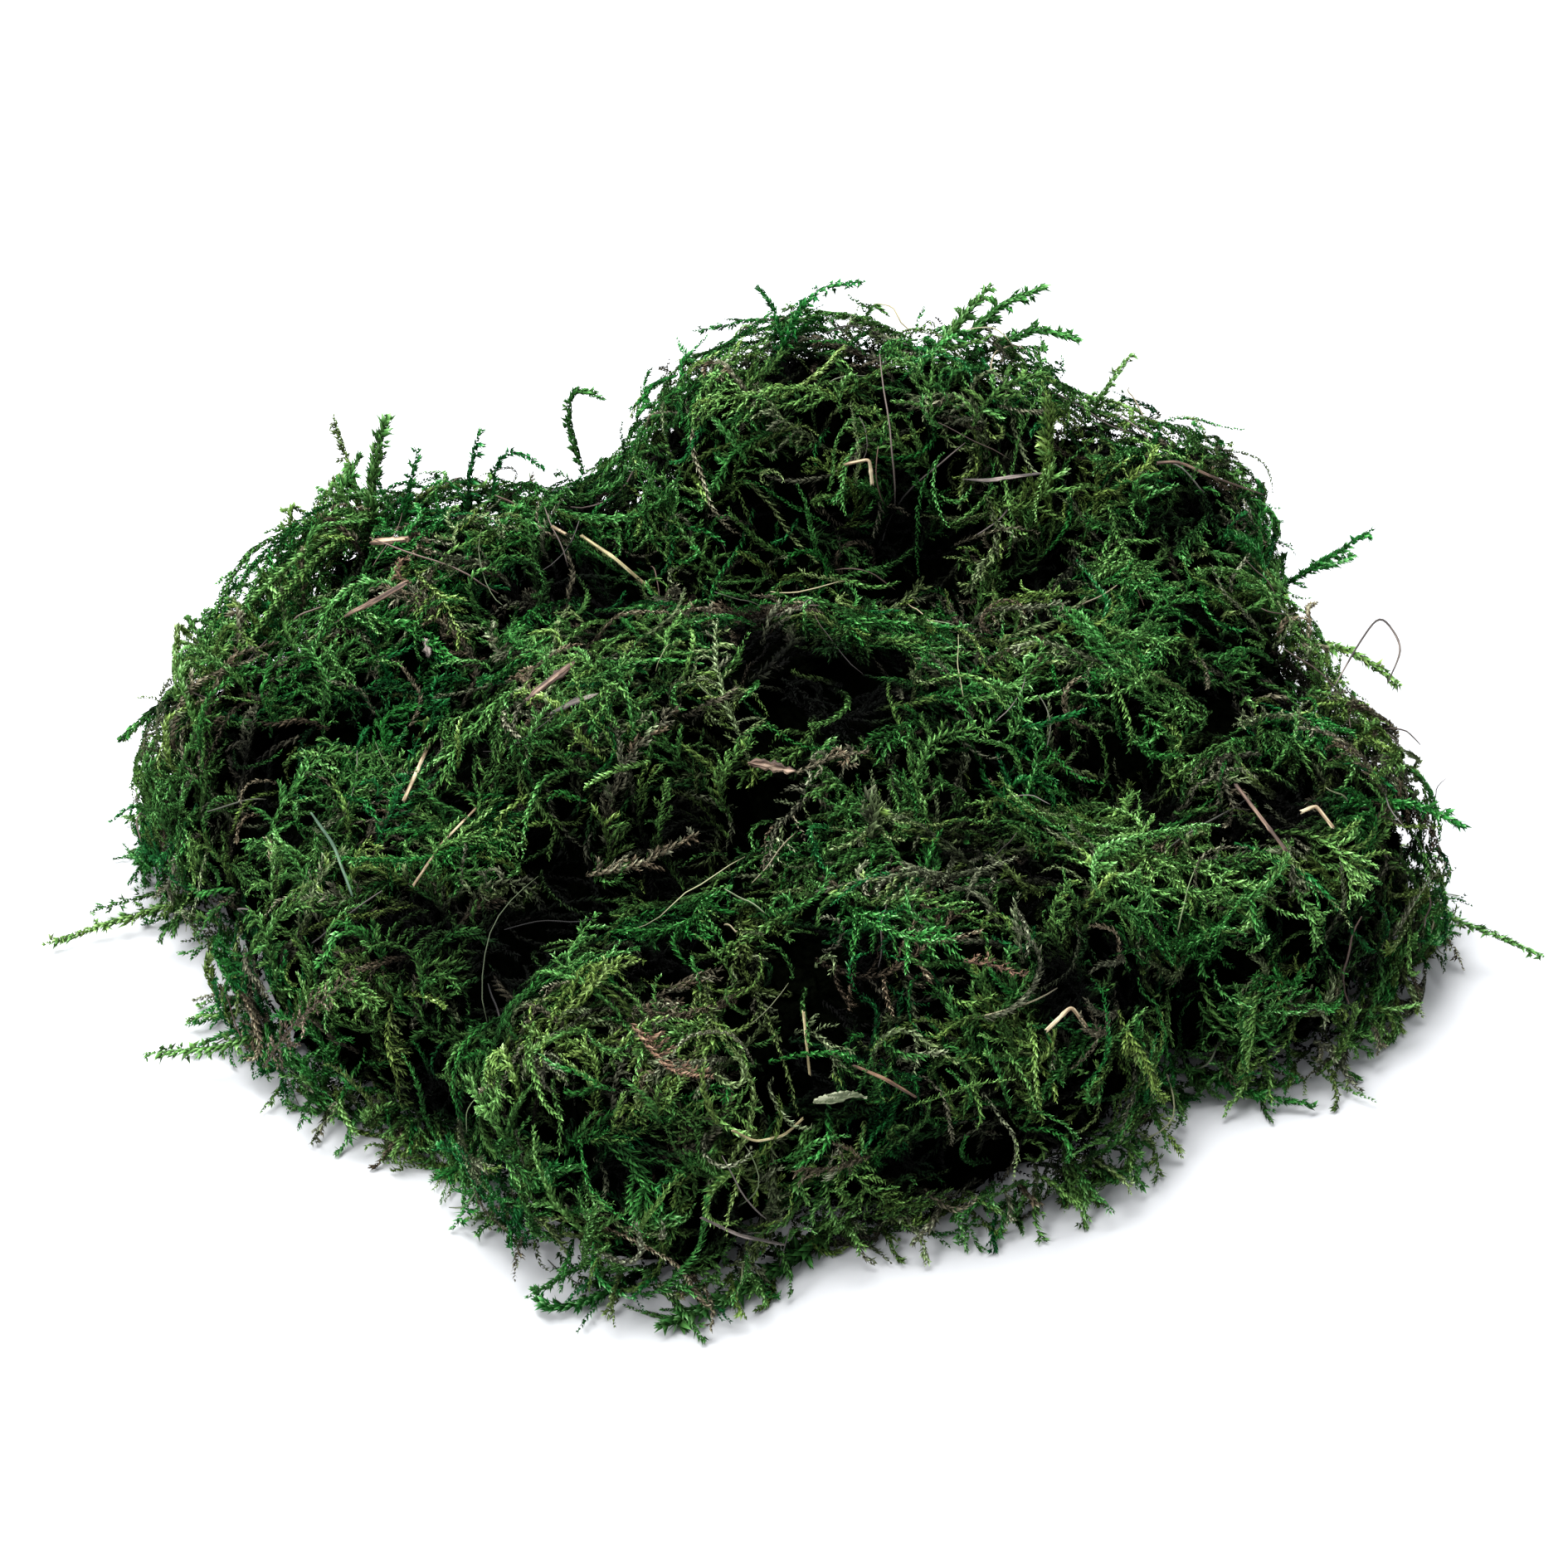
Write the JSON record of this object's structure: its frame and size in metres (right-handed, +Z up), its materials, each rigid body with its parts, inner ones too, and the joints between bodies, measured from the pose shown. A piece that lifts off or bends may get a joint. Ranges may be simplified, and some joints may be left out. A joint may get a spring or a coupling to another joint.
{
  "type": "moss clump",
  "caption": "Loose heap of dried green sheet moss: torn wads of fine comb-like shoots pressed together, with twigs, straws and a dry leaf caught on top.",
  "frame": {"origin": "middle of the heap's footprint, on the surface that it rests on", "axes": "+X along the heap's long side, to the right as seen from the front; +Y to the back; +Z up"},
  "size_m": [0.2358, 0.2, 0.078],
  "materials": {
    "front_corner_moss": "dry, matt dyed sheet moss, fine comb-like shoots",
    "front_moss": "dry, matt dyed sheet moss, fine comb-like shoots",
    "front_left_moss": "dry, matt dyed sheet moss, fine comb-like shoots",
    "left_moss": "dry, matt dyed sheet moss, fine comb-like shoots",
    "left_back_moss": "dry, matt dyed sheet moss, fine comb-like shoots",
    "right_moss": "dry, matt dyed sheet moss, fine comb-like shoots",
    "right_back_moss": "dry, matt dyed sheet moss, fine comb-like shoots",
    "back_right_moss": "dry, matt dyed sheet moss, fine comb-like shoots",
    "back_moss": "dry, matt dyed sheet moss, fine comb-like shoots",
    "middle_moss": "dry, matt dyed sheet moss, fine comb-like shoots",
    "crown_moss": "dry, matt dyed sheet moss, fine comb-like shoots",
    "brown_wood": "dry weathered twig, matt",
    "grey_bark": "grey-brown bark, matt",
    "pale_straw": "dry straw, slight sheen",
    "dry_grass": "dry grass blade and stalk, slight sheen",
    "green_needle": "dry grey-green needle, matt",
    "russet_moss": "dead russet moss and needle, matt",
    "brown_moss": "dead brown feather moss, matt"
  },
  "bodies": {
    "root": {"back_right_wad": "back_right_moss", "back_wad": "back_moss", "bark_chip": "grey_bark", "bark_flake": "brown_wood", "bent_straw": "pale_straw", "brown_frond": "brown_moss", "crown_wad": "crown_moss", "curled_frond": "russet_moss", "curled_strip": "russet_moss", "curved_stalk": "dry_grass", "forked_straw": "pale_straw", "front_corner_wad": "front_corner_moss", "front_left_wad": "front_left_moss", "front_wad": "front_moss", "grass_culm": "dry_grass", "grass_leaf": "dry_grass", "green_needle": "green_needle", "hooked_straw": "pale_straw", "knobbly_twig": "grey_bark", "leaning_straw": "pale_straw", "left_back_wad": "left_back_moss", "left_straw": "pale_straw", "left_wad": "left_moss", "long_straw": "dry_grass", "long_twig": "brown_wood", "middle_wad": "middle_moss", "pale_needle": "grey_bark", "red_needle": "russet_moss", "right_back_wad": "right_back_moss", "right_straw": "brown_wood", "right_wad": "right_moss", "root_fibre": "brown_wood", "root_loop": "grey_bark", "rust_sprig": "russet_moss", "short_straw": "pale_straw", "split_twig": "grey_bark", "stick_stub": "pale_straw", "thick_twig": "brown_wood"}
  },
  "joints": []
}
